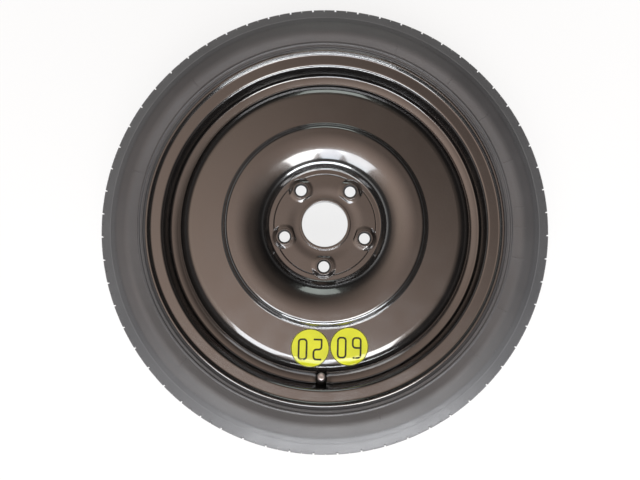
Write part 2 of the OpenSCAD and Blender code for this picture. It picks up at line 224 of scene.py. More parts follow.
def round_corner(before, at, after, radius, steps):
    u, w = unit(before - at), unit(after - at)
    bend = math.acos(max(-1, min(1, u.dot(w))))
    reach = radius / math.tan(bend / 2)
    middle = at + unit(u + w) * radius / math.sin(bend / 2)
    start, stop = at + u * reach - middle, at + w * reach - middle
    sweep = math.acos(max(-1, min(1, unit(start).dot(unit(stop)))))
    points = []
    for i in range(steps + 1):
        s = i / steps
        part = start * math.sin((1 - s) * sweep) + stop * math.sin(s * sweep)
        points.append(middle + part / math.sin(sweep))
    return points


def rounded(path, steps):
    brace = 0.5
    places = [Vector(p[:2]) for p in path]
    line = []
    for i, place in enumerate(places):
        bend = [place]
        if 0 < i < len(path) - 1 and path[i][2]:
            bend = round_corner(places[i - 1], place, places[i + 1], path[i][2], steps)
        run = bend[0] - line[-1] if line else Vector((0, 0))
        if run.length > 4 * brace:
            line += [line[-1] + unit(run) * brace, bend[0] - unit(run) * brace]
        line += bend
    return line


def shifted(line, by):
    moved = []
    for i, place in enumerate(line):
        h = unit(line[min(i + 1, len(line) - 1)] - line[max(i - 1, 0)])
        moved.append(place + by * Vector((-h.y, h.x)))
    return moved


def finish_mesh(name, points, faces, sharp=32):
    mesh = bpy.data.meshes.new(name)
    mesh.from_pydata([Vector(p) * mm for p in points], [], faces)
    mesh.update()
    shell = bmesh.new()
    shell.from_mesh(mesh)
    bmesh.ops.remove_doubles(shell, verts=shell.verts, dist=0.002 * mm)
    bmesh.ops.dissolve_degenerate(shell, edges=shell.edges, dist=0.0005 * mm)
    bmesh.ops.recalc_face_normals(shell, faces=shell.faces)
    shell.to_mesh(mesh)
    shell.free()
    mesh.shade_smooth()
    mesh.set_sharp_from_angle(angle=math.radians(sharp))
    piece = bpy.data.objects.new(name, mesh)
    scene.collection.objects.link(piece)
    return piece


def spun(outline, columns):
    points, faces = [], []
    count = len(outline)
    for j in range(columns):
        a = 2 * math.pi * j / columns
        for r, z in outline:
            points.append((r * math.cos(a), r * math.sin(a), z))
    for j in range(columns):
        k = (j + 1) % columns
        for i in range(count):
            n = (i + 1) % count
            faces.append((j * count + i, k * count + i, k * count + n, j * count + n))
    return points, faces


rim_wall = 2.4
rim_skin = rim_wall / 2
half_width = 101.6 / 2
seat_r = 405.6 / 2
seat_width = 19
seat_slope = math.tan(math.radians(5))
well_drop, well_wide = 16.6, 32
middle_z = -41
flange_height, flange_curl, flange_depth = 17.3, 9.5, 10.4
hump = 0.8
well_r = seat_r - well_drop - rim_skin
slope_top = half_width - seat_width - 4.8
slope_run, slope_drop = 13.6, 7.5
well_top = slope_top - slope_drop
well_bottom = well_top - well_wide
valve_r, valve_hole_r = 192.8, 11.5 / 2
valve_lean = math.radians(16.5)
slope_rise = slope_drop / slope_run
valve_z = (
    middle_z + well_top + slope_rise * (valve_r - well_r)
    + rim_skin * math.sqrt(1 + slope_rise ** 2)
)
valve_place = Matrix.Translation((0, -valve_r, valve_z)) @ Matrix.Rotation(-valve_lean, 4, "X")
ledge_start, ledge_foot = slope_top - 2.8, slope_top - 4.4
ledge_slope = (ledge_start - ledge_foot) / slope_run
ledge_lift = (
    middle_z + ledge_foot + ledge_slope * (valve_r - well_r)
    + rim_skin * math.sqrt(1 + ledge_slope ** 2) - valve_z
)


def rim_half(side, top, bottom, curl_bend, seat_bend, rise):
    s = rim_skin
    return [
        (seat_r + flange_height - s, middle_z + side * (half_width + flange_depth), 0),
        (seat_r + flange_height - s, middle_z + side * (half_width + s + rise), curl_bend),
        (seat_r - s, middle_z + side * (half_width + s), seat_bend),
        (seat_r - s - seat_width * seat_slope, middle_z + side * (half_width - seat_width), 4),
        (seat_r - s - seat_width * seat_slope + hump,
         middle_z + side * (half_width - seat_width - 2.4), 1.8),
        (well_r + slope_run, middle_z + side * top, 5),
        (well_r, middle_z + side * bottom, 3),
    ]


def rim_path(curl_bend, seat_bend, rise=0.0):
    line = rounded(rim_half(1, ledge_start, ledge_foot, curl_bend, seat_bend, rise), 9)
    back = rounded(rim_half(-1, slope_top, -well_bottom, curl_bend, seat_bend, rise), 6)
    return line + back[::-1]


lip_round = 0.45


def sheet_outline(tyre_line, open_line, wall, lip):
    left, right = shifted(tyre_line, wall / 2), shifted(open_line, -wall / 2)
    for side, inward in ((left, right), (right, left)):
        for end, nxt in ((0, 1), (-1, -2)):
            along = unit(side[nxt] - side[end]) * lip
            across = unit(inward[end] - side[end]) * lip
            corner = side[end]
            cut = [corner + along, corner + along * 0.3 + across * 0.3, corner + across]
            if end == 0:
                side[0:1] = cut[::-1]
            else:
                side[-1:] = cut
    return left + right[::-1]


rim_columns = 420
rim_section = sheet_outline(
    rim_path(flange_curl - rim_skin, 7.5), rim_path(4.6, 3.0, 0.5), rim_wall, lip_round)
rim_points, rim_faces = spun(rim_section, rim_columns)
spot_inner, spot_outer, spot_reach, spot_wall = 8.6, 13.5, 9, 2.7
spot_slope = math.tan(valve_lean - math.atan(ledge_slope))
valve_inverse = valve_place.inverted()
for i, point in enumerate(rim_points):
    local = valve_inverse @ Vector(point)
    reach = math.hypot(local.x, local.y)
    if reach < spot_outer and abs(local.z) < spot_reach:
        t = min(1, max(0, (spot_outer - reach) / (spot_outer - spot_inner)))
        t = t * t * (3 - 2 * t)
        local.z -= t * (ledge_lift + spot_slope * local.y)
        rim_points[i] = tuple(valve_place @ local)
rim = finish_mesh("rim_hoop", rim_points, rim_faces)
drill_mesh = bpy.data.meshes.new("drill")
drill_cut = bmesh.new()
bmesh.ops.create_cone(
    drill_cut, cap_ends=True, segments=96, radius1=valve_hole_r * mm, radius2=valve_hole_r * mm,
    depth=24 * mm, matrix=Matrix.Translation(Vector((0, -valve_r, valve_z)) * mm)
    @ Matrix.Rotation(-valve_lean, 4, "X"),
)
drill_cut.to_mesh(drill_mesh)
drill_cut.free()
drill = bpy.data.objects.new("drill", drill_mesh)
scene.collection.objects.link(drill)
cut = rim.modifiers.new("valve hole", "BOOLEAN")
cut.operation = "DIFFERENCE"
cut.solver = "EXACT"
cut.object = drill


def made_plain(piece):
    seen = bpy.context.evaluated_depsgraph_get()
    seen.update()
    plain = bpy.data.meshes.new_from_object(piece.evaluated_get(seen))
    piece.modifiers.clear()
    old = piece.data
    plain.name = piece.name
    piece.data = plain
    bpy.data.meshes.remove(old)


made_plain(rim)
bpy.data.objects.remove(drill)


# Shader groups for every finish: a fine mottle, specks of dust and the slow
# waves that a dipped or moulded surface keeps, all read from Object places.
def new_group(name, inputs, outputs):
    group = bpy.data.node_groups.new(name, "ShaderNodeTree")
    for label, kind, value in inputs:
        socket = group.interface.new_socket(label, in_out="INPUT", socket_type=kind)
        if value is not None:
            socket.default_value = value
    for label, kind in outputs:
        group.interface.new_socket(label, in_out="OUTPUT", socket_type=kind)
    start = add_node(group, "NodeGroupInput")
    end = add_node(group, "NodeGroupOutput")
    return group, start, end


mottle, start, end = new_group(
    "surface mottle",
    [("Scale", "NodeSocketFloat", 60.0), ("Detail", "NodeSocketFloat", 4.0),
     ("Low", "NodeSocketFloat", 0.0), ("High", "NodeSocketFloat", 1.0)],
    [("Value", "NodeSocketFloat")],
)
place = add_node(mottle, "ShaderNodeTexCoord")
noise = add_node(mottle, "ShaderNodeTexNoise")
span = add_node(mottle, "ShaderNodeMapRange", {"From Min": 0.3, "From Max": 0.7})
for output, socket in (
    (place.outputs["Object"], noise.inputs["Vector"]),
    (start.outputs["Scale"], noise.inputs["Scale"]),
    (start.outputs["Detail"], noise.inputs["Detail"]),
    (noise.outputs["Fac"], span.inputs["Value"]),
    (start.outputs["Low"], span.inputs["To Min"]),
    (start.outputs["High"], span.inputs["To Max"]),
    (span.outputs["Result"], end.inputs["Value"]),
):
    mottle.links.new(output, socket)

dust, start, end = new_group(
    "dust specks",
    [("Scale", "NodeSocketFloat", 300.0), ("Amount", "NodeSocketFloat", 0.1)],
    [("Mask", "NodeSocketFloat")],
)
place = add_node(dust, "ShaderNodeTexCoord")
cells = add_node(dust, "ShaderNodeTexVoronoi")
size = add_node(dust, "ShaderNodeMapRange", {"To Min": 1.0, "To Max": 0.0}, clamp=True)
for output, socket in (
    (place.outputs["Object"], cells.inputs["Vector"]),
    (start.outputs["Scale"], cells.inputs["Scale"]),
    (cells.outputs["Distance"], size.inputs["Value"]),
    (start.outputs["Amount"], size.inputs["From Max"]),
    (size.outputs["Result"], end.inputs["Mask"]),
):
    dust.links.new(output, socket)


def use_group(tree, group, **values):
    return add_node(tree, "ShaderNodeGroup", values, node_tree=group).outputs[0]


def mix_colors(tree, factor, low, high):
    node = add_node(tree, "ShaderNodeMix", data_type="RGBA")
    tree.links.new(factor, node.inputs["Factor"])
    for socket, value in ((node.inputs[6], low), (node.inputs[7], high)):
        if isinstance(value, tuple):
            socket.default_value = value
        else:
            tree.links.new(value, socket)
    return node.outputs[2]


def bump_from(tree, height, strength, distance):
    node = add_node(tree, "ShaderNodeBump", {"Strength": strength, "Distance": distance})
    tree.links.new(height, node.inputs["Height"])
    return node.outputs["Normal"]


def mottled(tree, scale, detail, low=0.0, high=1.0):
    return use_group(tree, mottle, Scale=scale, Detail=detail, Low=low, High=high)


def make_finish(name, tones, shade, rough, bump, constants, specks=None):
    finish, tree = new_material(name)
    out = add_node(tree, "ShaderNodeOutputMaterial")
    shader = add_node(tree, "ShaderNodeBsdfPrincipled", constants)
    tree.links.new(shader.outputs[0], out.inputs["Surface"])
    color = mix_colors(tree, mottled(tree, *shade), *((*tone, 1) for tone in tones))
    if specks:
        scale, amount, tone = specks
        mask = use_group(tree, dust, Scale=scale, Amount=amount)
        color = mix_colors(tree, mask, color, (*tone, 1))
    tree.links.new(color, shader.inputs["Base Color"])
    tree.links.new(mottled(tree, *rough), shader.inputs["Roughness"])
    *waves, strength, distance = bump
    tree.links.new(bump_from(tree, mottled(tree, *waves), strength, distance),
                   shader.inputs["Normal"])
    return finish


# Black enamel: a glossy dipped coat with slow waves in it, a little thicker
# and duller in places, and a thin scatter of dust.
black_enamel, tree = new_material("black enamel")
out = add_node(tree, "ShaderNodeOutputMaterial")
enamel = add_node(tree, "ShaderNodeBsdfPrincipled", {
    "Specular IOR Level": 0.9, "Coat Roughness": 0.07, "Coat IOR": 1.8})
tree.links.new(enamel.outputs[0], out.inputs["Surface"])
specks = use_group(tree, dust, Scale=260.0, Amount=0.09)
coat_color = mix_colors(
    tree, mottled(tree, 22.0, 3.0), (0.0065, 0.006, 0.006, 1), (0.010, 0.009, 0.0085, 1))
dusty = mix_colors(tree, specks, coat_color, (0.07, 0.066, 0.06, 1))
tree.links.new(dusty, enamel.inputs["Base Color"])
gloss = mottled(tree, 35.0, 5.0, 0.16, 0.27)
dull = add_node(tree, "ShaderNodeAttribute", attribute_name="dull")
for socket, low, high in (("Roughness", None, 0.8), ("Coat Weight", 1.0, 0.0)):
    change = add_node(tree, "ShaderNodeMix", {"B": high}, data_type="FLOAT")
    if low is None:
        tree.links.new(gloss, change.inputs["A"])
    else:
        change.inputs["A"].default_value = low
    tree.links.new(dull.outputs["Fac"], change.inputs["Factor"])
    tree.links.new(change.outputs[0], enamel.inputs[socket])
waves = mottled(tree, 240.0, 1.5)
tree.links.new(bump_from(tree, waves, 0.05, 0.0004), enamel.inputs["Normal"])
rim.data.materials.clear()
rim.data.materials.append(black_enamel)
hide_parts("rim")
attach(rim, "wheel")

# Wheel disc: one pressing of 3.5 mm steel with a bore collar, five coined bolt
# bosses, a high crown, a flat outer face and a flange that fits inside the rim.
disc_wall = 3.5
disc_skin = disc_wall / 2
bore_r = 56.6 / 2
collar_height, collar_wide = 12.5, 3.5
pad_r, pad_step = 63, 1.0
crown_height, face_height = 20.96, 6.5
flange_gap, flange_deep = 0.05, 34
disc_r = seat_r - well_drop - rim_wall - flange_gap
crown_foot = pad_r + 8.5
crown_inner = pad_r + 16
crown_middle = pad_r + 35
crown_outer = pad_r + 58
groove_r = crown_outer + 5.3
weld_z = face_height - disc_wall - flange_deep
disc_path = [
    (bore_r, disc_skin, 0),
    (crown_foot, disc_skin, 5),
    (crown_inner, crown_height - 8.5, 18),
    (crown_middle, crown_height, 62),
    (crown_outer, crown_height - 0.6, 4.2),
    (groove_r, face_height + 1, 4.2),
    (disc_r - disc_skin, face_height, 17),
    (disc_r - disc_skin, weld_z, 0),
]
disc_line = rounded(disc_path, 14)
disc_top = shifted(disc_line, disc_skin)
disc_under = shifted(rounded(disc_path, 5), -disc_skin)


def height_on(line, r):
    for a, b in zip(line, line[1:]):
        if a.x <= r <= b.x and b.x > a.x:
            return a.y + (b.y - a.y) * (r - a.x) / (b.x - a.x)
    return line[0].y if r < line[0].x else line[-1].y


bolt_circle_r, bolt_count = 52.5, 5
bolt_r, seat_top_r = 13.5 / 2, 17.4 / 2
boss_r, boss_lip, boss_height, boss_inner = 16.0, 10.0, 0.95, 39.3
pad_edge, pad_bay, pad_inner = 0.3, 14.6, 34.6
pad_top = disc_wall + pad_step
boss_top = pad_top + boss_height
seat_foot_z = boss_top - (seat_top_r - bolt_r) / math.tan(math.radians(30))
bolt_centres = [
    Vector((bolt_circle_r * math.cos(a), bolt_circle_r * math.sin(a)))
    for a in (math.radians(-90 + 72 * i) for i in range(bolt_count))
]
zone_inner, zone_outer = 34.5, 69.5
disc_columns = 440
crease_deep, boss_side_slope = 0.6, 0.56


def eased(t):
    t = min(1, max(0, t))
    return t * t * (3 - 2 * t)


def soft_max(a, b, k):
    h = max(k - abs(a - b), 0) / k
    return max(a, b) + h * h * k * 0.25


def mix(a, b, t):
    return a + (b - a) * t


def disc_height(p):
    r = p.length
    near = min((p - c).length for c in bolt_centres)
    sheet = height_on(disc_top, r)
    edge = min(r - pad_r, near - pad_bay)
    lift = eased(0.5 - edge / (2 * pad_edge)) * eased((r - pad_inner) / 14)
    crease = crease_deep * eased(1 - abs(edge - 0.75) / 0.5)
    pad = soft_max(sheet - crease, disc_wall + pad_step * lift - crease, 0.1)
    if near > boss_r or r < boss_inner:
        return pad
    lip = eased((boss_lip + 0.5 - near) / 0.5)
    gentle = mix(pad, pad_top + mix(boss_height * 0.6, boss_height, lip),
                 eased((boss_r - near) / (boss_r - boss_lip - 0.5)))
    steep = boss_top - boss_side_slope * max(0, near - boss_lip)
    steep = mix(pad, steep, eased((15.4 - near) / 0.8))
    boss = mix(gentle, steep, eased((r - 57) / 5))
    return mix(pad, boss, eased((r - boss_inner) / 1.7))


def ring(radius, count, centre=Vector((0, 0))):
    return [
        centre + Vector((radius * math.cos(2 * math.pi * i / count),
                         radius * math.sin(2 * math.pi * i / count)))
        for i in range(count)
    ]


def filled(rings_round, rings_boss, outer, inner, clear):
    places, edges, loops = [], [], []

    def add_loop(points):
        first = len(places)
        places.extend(points)
        edges.extend((first + i, first + (i + 1) % len(points)) for i in range(len(points)))
        loops.append(list(range(first, first + len(points))))

    add_loop(ring(outer, disc_columns))
    add_loop(ring(inner, disc_columns))
    for centre in bolt_centres:
        for radius, count in rings_boss:
            add_loop(ring(radius, count, centre))
    for radius, count in rings_round:
        for p in ring(radius, count):
            if min((p - c).length for c in bolt_centres) > clear:
                places.append(p)
    verts, _, faces, *_ = delaunay_2d_cdt(places, edges, [], 0, 0.0001)
    kept = []
    hole_r = min(radius for radius, _ in rings_boss)
    for face in faces:
        middle = sum((verts[i] for i in face), Vector((0, 0))) / len(face)
        if not inner < middle.length < outer:
            continue
        if min((middle - c).length for c in bolt_centres) < hole_r * 0.9985:
            continue
        kept.append(tuple(face))
    return verts, kept


boss_rings = [(r, 80) for r in (
    seat_top_r, 9.2, 9.7, 9.95, 10.1, 10.25, 10.4, 10.6, 11.1, 11.6, 12.1, 12.6, 13.1, 13.6,
    14.0, 14.2, 14.35, 14.5, 14.65, 14.8, 15.0, 15.2, 15.45, 15.8, 16.2,
)]
pad_rings = [(r, 360) for r in (
    35.5, 36.5, 37.5, 38.5, 39.3, 39.9, 40.5, 41.1, 42, 44, 46, 48.5, 51, 53.5, 56, 58, 60, 61.5,
    62.3, 62.6, 62.75, 62.9, 63.05, 63.2, 63.35, 63.5, 63.7, 63.9, 64.1, 64.4, 64.9, 65.5,
    66.4, 67.4, 68.4, 69,
)]
top_places, top_faces = filled(pad_rings, boss_rings, zone_outer, zone_inner, 16.5)
points = [(p.x, p.y, disc_height(p)) for p in top_places]
faces = [tuple(f) for f in top_faces]


def add_strip(rows, count):
    first = len(points)
    for row in rows:
        points.extend(row)
    for k in range(len(rows) - 1):
        for j in range(count):
            n = (j + 1) % count
            a, b = first + k * count, first + (k + 1) * count
            faces.append((a + j, a + n, b + n, b + j))


def lifted(places, z):
    return [(p.x, p.y, z) for p in places]


collar_lip, bore_chamfer = 0.5, 0.3
collar_outer = bore_r + collar_wide
collar_line = [
    Vector((bore_r, bore_chamfer)), Vector((bore_r, 1.5)), Vector((bore_r, 4.0)),
    *round_corner(Vector((bore_r, 0)), Vector((bore_r, collar_height)),
                  Vector((collar_outer, collar_height)), collar_lip, 4),
    *round_corner(Vector((bore_r, collar_height)), Vector((collar_outer, collar_height)),
                  Vector((collar_outer, 0)), collar_lip, 4),
    *round_corner(Vector((collar_outer, collar_height)), Vector((collar_outer, disc_wall)),
                  Vector((zone_inner, disc_wall)), 0.7, 4),
    Vector((collar_outer + 1.1, disc_wall)), Vector((zone_inner, disc_wall)),
]
inner_rows = [lifted(ring(p.x, disc_columns), p.y) for p in collar_line]
add_strip(inner_rows, disc_columns)
outer_part = [p for p in disc_top if p.x > zone_outer or p.y < 0]
outer_rows = [[(p.x, p.y, disc_height(p)) for p in ring(zone_outer, disc_columns)]]
outer_rows += [lifted(ring(p.x, disc_columns), p.y) for p in outer_part]
under_zone = 66.0
under_part = [p for p in disc_under[::-1] if p.x > under_zone]
outer_rows += [lifted(ring(p.x, disc_columns), p.y) for p in under_part]
outer_rows.append(lifted(ring(under_zone, disc_columns), 0.0))
add_strip(outer_rows, disc_columns)
under_inner = 33.5
under_places, under_faces = filled(
    [(r, 120) for r in (38, 44, 50, 56, 62)], [(bolt_r, 80), (9.5, 80)],
    under_zone, under_inner, 11,
)
first = len(points)
points += [(p.x, p.y, 0.0) for p in under_places]
faces += [tuple(first + i for i in f) for f in under_faces]
neck_rows = [
    lifted(ring(under_inner, disc_columns), 0.0),
    lifted(ring(bore_r + bore_chamfer, disc_columns), 0.0),
    lifted(ring(bore_r, disc_columns), bore_chamfer),
]
add_strip(neck_rows, disc_columns)
for centre in bolt_centres:
    hole_rows = [
        [(p.x, p.y, disc_height(p)) for p in ring(seat_top_r, 80, centre)],
        lifted(ring(bolt_r, 80, centre), seat_foot_z),
        lifted(ring(bolt_r, 80, centre), 0.0),
    ]
    add_strip(hole_rows, 80)
disc = finish_mesh("disc_pressing", points, faces, 30)
dull_marks = disc.data.attributes.new("dull", "FLOAT", "FACE").data
for face, mark in zip(disc.data.polygons, dull_marks):
    near = min((face.center.to_2d() / mm - c).length for c in bolt_centres)
    mark.value = 1.0 if near < seat_top_r * 0.998 and face.center.z > 0.05 * mm else 0.0
disc.data.materials.append(black_enamel)
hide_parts("wheel_disc")
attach(disc, "wheel")

# Weld beads: short fillet runs of steel in the corner under the disc's flange,
# which tie the pressing to the rim's well. They are dipped in the same enamel.
weld_count, weld_angle, weld_leg = 8, math.radians(26), 4.0
weld_ripple, weld_steps = 0.22, 54


def weld_section(well_inner, leg, bulge):
    corner = Vector((well_inner - 0.02, weld_z))
    face = [
        (0, -leg), (leg * 0.2, -leg * 0.93), (leg * 0.42 + bulge, -leg * 0.72 - bulge),
        (leg * 0.72 + bulge, -leg * 0.42 - bulge), (leg * 0.93, -leg * 0.2),
        (disc_wall - 0.05, 0),
    ]
    return [(corner.x - dx, corner.y + dz) for dx, dz in [(0, 0)] + face]


points, faces = [], []
for bead in range(weld_count):
    rows = []
    middle = 2 * math.pi * (bead + 0.5) / weld_count
    for k in range(weld_steps + 1):
        t = k / weld_steps
        taper = min(1, math.sqrt(max(0.0, min(t, 1 - t) * 14))) * 0.97 + 0.03
        ripple = weld_ripple * (0.5 - 0.5 * math.cos(2 * math.pi * k / 3))
        a = middle + (t - 0.5) * weld_angle
        section = weld_section(seat_r - well_drop - rim_wall, weld_leg * taper, -ripple * taper)
        rows.append([(r * math.cos(a), r * math.sin(a), z) for r, z in section])
    first, count = len(points), len(rows[0])
    for row in rows:
        points.extend(row)
    for k in range(weld_steps):
        for i in range(count):
            n = (i + 1) % count
            a, b = first + k * count, first + (k + 1) * count
            faces.append((a + i, b + i, b + n, a + n))
    faces.append(tuple(first + i for i in range(count)))
    faces.append(tuple(first + weld_steps * count + i for i in range(count)))
welds = finish_mesh("disc_weld_beads", points, faces, 50)
welds.data.materials.append(black_enamel)
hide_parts("disc_welds")
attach(welds, "wheel")

# Tyre: one moulding of black rubber over its cords and bead wires, with three
# round grooves, notched shoulders, fine mould lines and ribs on its sidewalls.
tyre_r, tyre_half = 567 / 2, 124 / 2
tread_depth, groove_width, groove_pitch = 4.6, 6.0, 21.0
notch_count, notch_width, notch_floor = 60, 2.2, tyre_r - 8.5
notch_start = tyre_half - 16 - 18
sipe_width, sipe_depth, sipe_start = 0.6, 2.6, 33.0
curl_r, curl_s, curl_gap = seat_r + flange_height - flange_curl, half_width + flange_curl, 0.4
toe_s, shoulder_s = half_width - 17, tyre_half - 16


def beside_curl(degrees):
    a = math.radians(degrees)
    reach = flange_curl + curl_gap
    return Vector((curl_r + reach * math.cos(a), curl_s - reach * math.sin(a)))


tyre_side = rounded([
    (tyre_r, 0, 0), (tyre_r - 1, 24, 90), (tyre_r - 4.6, shoulder_s, 5),
    (tyre_r - 18.4, tyre_half - 6.8, 5), (tyre_r - 20, tyre_half - 5.4, 1.2),
    (tyre_r - 27, tyre_half - 1.8, 14), (tyre_r - 41, tyre_half + 0.5, 22),
    (tyre_r - 53.5, tyre_half - 2.2, 2), (tyre_r - 54.3, tyre_half - 1.4, 0.3),
    (tyre_r - 55.6, tyre_half - 1.7, 0.3), (tyre_r - 56.2, tyre_half - 2.8, 0.3),
    (tyre_r - 58, tyre_half - 3.1, 0.3), (tyre_r - 58.6, tyre_half - 2.5, 0.3),
    (tyre_r - 59.6, tyre_half - 2.8, 0.3), (tyre_r - 60.4, tyre_half - 4, 1),
    tuple(beside_curl(24)),
], 4)
tyre_bead = [beside_curl(a) for a in range(30, 90, 10)] + rounded([
    (curl_r, half_width - curl_gap, 0), (seat_r + 0.1, half_width - curl_gap, 7.6),
    (seat_r + 0.1 - seat_slope * (half_width - toe_s), toe_s, 0),
], 4)
tyre_liner = rounded([
    (seat_r + 1.2 - seat_slope * (half_width - toe_s), toe_s - 1, 0),
    (seat_r + 12, toe_s + 4.5, 12), (tyre_r - 56, tyre_half - 12, 12),
    (tyre_r - 41, tyre_half - 7.5, 24), (tyre_r - 19, tyre_half - 14.5, 14),
    (tyre_r - 11.6, shoulder_s - 9, 10), (tyre_r - 10, 0, 0),
], 3)


def tread_radius(s):
    for a, b in zip(tyre_side, tyre_side[1:]):
        if a.y <= s <= b.y and b.y > a.y:
            return a.x + (b.x - a.x) * (s - a.y) / (b.y - a.y)
    return tyre_side[-1].x


groove_floor = tyre_r - tread_depth
half_groove = groove_width / 2
tread_rows = [(groove_floor, 0.0), (groove_floor, half_groove - 0.9)]
for centre, edges in ((0.0, (1,)), (groove_pitch, (-1, 1))):
    for side in edges:
        brow = centre + side * (half_groove + 0.35)
        wall = [
            (groove_floor, centre + side * (half_groove - 0.9)),
            (groove_floor + 0.25, centre + side * (half_groove - 0.3)),
            (groove_floor + 0.8, centre + side * half_groove),
            (tread_radius(centre + side * half_groove) - 0.35, centre + side * half_groove),
            (tread_radius(brow), brow),
        ]
        tread_rows += wall if side > 0 else wall[::-1]
    if centre == 0.0:
        tread_rows += [(tread_radius(s), s) for s in (7.5, 12.0)]
tread_rows = tread_rows[:1] + tread_rows[2:]
tread_rows += [(tread_radius(s), s) for s in (
    26.0, notch_start - 0.03, notch_start + 0.03, sipe_start - 0.03, sipe_start + 0.03, 38.0, 42.0,
)]
rounded_shoulder = [p for p in tyre_side if p.y > 44.5 and p.x > tyre_r - 19.5]
tread_rows += [(p.x, p.y) for p in rounded_shoulder if p.x > notch_floor + 0.1]
foot_s = next(
    a.y + (b.y - a.y) * (a.x - notch_floor) / (a.x - b.x)
    for a, b in zip(tyre_side, tyre_side[1:]) if a.x >= notch_floor > b.x
)
tread_rows.append((notch_floor, foot_s))
wall_rows = [(p.x, p.y) for p in tyre_side if p.x < notch_floor - 0.1 and p.y > shoulder_s]
bead_rows = [(p.x, p.y) for p in tyre_bead]
liner_rows = [(p.x, p.y) for p in tyre_liner]

pitch = 2 * math.pi / notch_count


def pitch_columns(side):
    middle = (0.5 + 0.25 * side) * pitch
    half_notch = notch_width / 2 / tyre_r
    half_sipe = sipe_width / 2 / tyre_r
    slope = 0.05 / tyre_r
    sipe = (middle + pitch / 2) % pitch
    stops = {0.0: (0, 0), pitch: (0, 0)}
    for edge, grow in ((-1, -slope), (1, slope)):
        stops[middle + edge * half_notch + grow] = (0, 0)
        stops[middle + edge * half_notch] = (1, 0)
        stops[sipe + edge * half_sipe + grow] = (0, 0)
        stops[sipe + edge * half_sipe] = (0, 1)
    ordered = sorted(stops)
    for a, b in zip(ordered, ordered[1:]):
        if b - a > pitch * 0.4:
            stops[(a + b) / 2] = (0, 0)
    return [(a, *stops[a]) for a in sorted(stops)]


tyre_points, tyre_faces = [], []


def lay_row(r, s, side, columns):
    first = len(tyre_points)
    for a, notched, siped in columns:
        reach = r
        if notched and s > notch_start:
            reach = min(reach, notch_floor)
        if siped and s > sipe_start and r > tread_radius(sipe_start) - 12:
            reach = min(reach, max(r - sipe_depth, notch_floor))
        tyre_points.append((reach * math.cos(a), reach * math.sin(a), middle_z + side * s))
    return list(range(first, len(tyre_points))), [a for a, *_ in columns]


def zip_rows(low, high, side):
    (ids_a, at_a), (ids_b, at_b) = low, high
    i = j = 0
    same = len(ids_a) == len(ids_b) and all(abs(p - q) < 1e-9 for p, q in zip(at_a, at_b))
    while i < len(ids_a) - 1 or j < len(ids_b) - 1:
        if same:
            face = (ids_a[i], ids_a[i + 1], ids_b[j + 1], ids_b[j])
            i, j = i + 1, j + 1
        elif j == len(ids_b) - 1 or (i < len(ids_a) - 1 and at_a[i + 1] <= at_b[j + 1]):
            face = (ids_a[i], ids_a[i + 1], ids_b[j])
            i += 1
        else:
            face = (ids_a[i], ids_b[j + 1], ids_b[j])
            j += 1
        tyre_faces.append(face if side > 0 else face[::-1])


def even_columns(count):
    return [(pitch * i / count, 0, 0) for i in range(count + 1)]


for side in (1, -1):
    laid = [lay_row(r, s, side, even_columns(4)) for r, s in tread_rows[:1]]
    laid += [lay_row(r, s, side, pitch_columns(side)) for r, s in tread_rows[1:]]
    laid += [lay_row(r, s, side, even_columns(5)) for r, s in wall_rows]
    laid += [lay_row(r, s, side, even_columns(3)) for r, s in bead_rows + liner_rows]
    for low, high in zip(laid, laid[1:]):
        zip_rows(low, high, side)

pitch_mesh = bpy.data.meshes.new("tread_pitch")
pitch_mesh.from_pydata([Vector(p) * mm for p in tyre_points], [], tyre_faces)
tyre = bpy.data.objects.new("tyre_moulding", pitch_mesh)
scene.collection.objects.link(tyre)


def new_tree(name, inputs):
    tree = bpy.data.node_groups.new(name, "GeometryNodeTree")
    tree.interface.new_socket("Geometry", in_out="INPUT", socket_type="NodeSocketGeometry")
    for label, kind, value in inputs:
        socket = tree.interface.new_socket(label, in_out="INPUT", socket_type=kind)
        if value is not None:
            socket.default_value = value
    tree.interface.new_socket("Geometry", in_out="OUTPUT", socket_type="NodeSocketGeometry")
    return tree, add_node(tree, "NodeGroupInput"), add_node(tree, "NodeGroupOutput")


def run_tree(piece, tree, **values):
    modifier = piece.modifiers.new(tree.name, "NODES")
    modifier.node_group = tree
    for socket in tree.interface.items_tree:
        key = socket.name.replace(" ", "_").lower()
        if socket.in_out == "INPUT" and key in values:
            modifier[socket.identifier] = values[key]
    made_plain(piece)


round_tree, start, end = new_tree("repeat round the axis", [
    ("Count", "NodeSocketInt", 60), ("Join Distance", "NodeSocketFloat", 0.00001),
    ("Finish", "NodeSocketMaterial", None),
])
links = round_tree.links
row = add_node(round_tree, "GeometryNodePoints")
index = add_node(round_tree, "GeometryNodeInputIndex")
turn = add_node(round_tree, "ShaderNodeMath", {0: 2 * math.pi}, operation="DIVIDE")
angle = add_node(round_tree, "ShaderNodeMath", operation="MULTIPLY")
spin = add_node(round_tree, "ShaderNodeCombineXYZ")
copies = add_node(round_tree, "GeometryNodeInstanceOnPoints")
real = add_node(round_tree, "GeometryNodeRealizeInstances")
join = add_node(round_tree, "GeometryNodeMergeByDistance")
paint = add_node(round_tree, "GeometryNodeSetMaterial")
for output, socket in (
    (start.outputs["Count"], row.inputs["Count"]),
    (start.outputs["Count"], turn.inputs[1]),
    (index.outputs[0], angle.inputs[0]),
    (turn.outputs[0], angle.inputs[1]),
    (angle.outputs[0], spin.inputs["Z"]),
    (row.outputs[0], copies.inputs["Points"]),
    (start.outputs["Geometry"], copies.inputs["Instance"]),
    (spin.outputs[0], copies.inputs["Rotation"]),
    (copies.outputs[0], real.inputs[0]),
    (real.outputs[0], join.inputs["Geometry"]),
    (start.outputs["Join Distance"], join.inputs["Distance"]),
    (join.outputs[0], paint.inputs["Geometry"]),
    (start.outputs["Finish"], paint.inputs["Material"]),
    (paint.outputs[0], end.inputs[0]),
):
    links.new(output, socket)

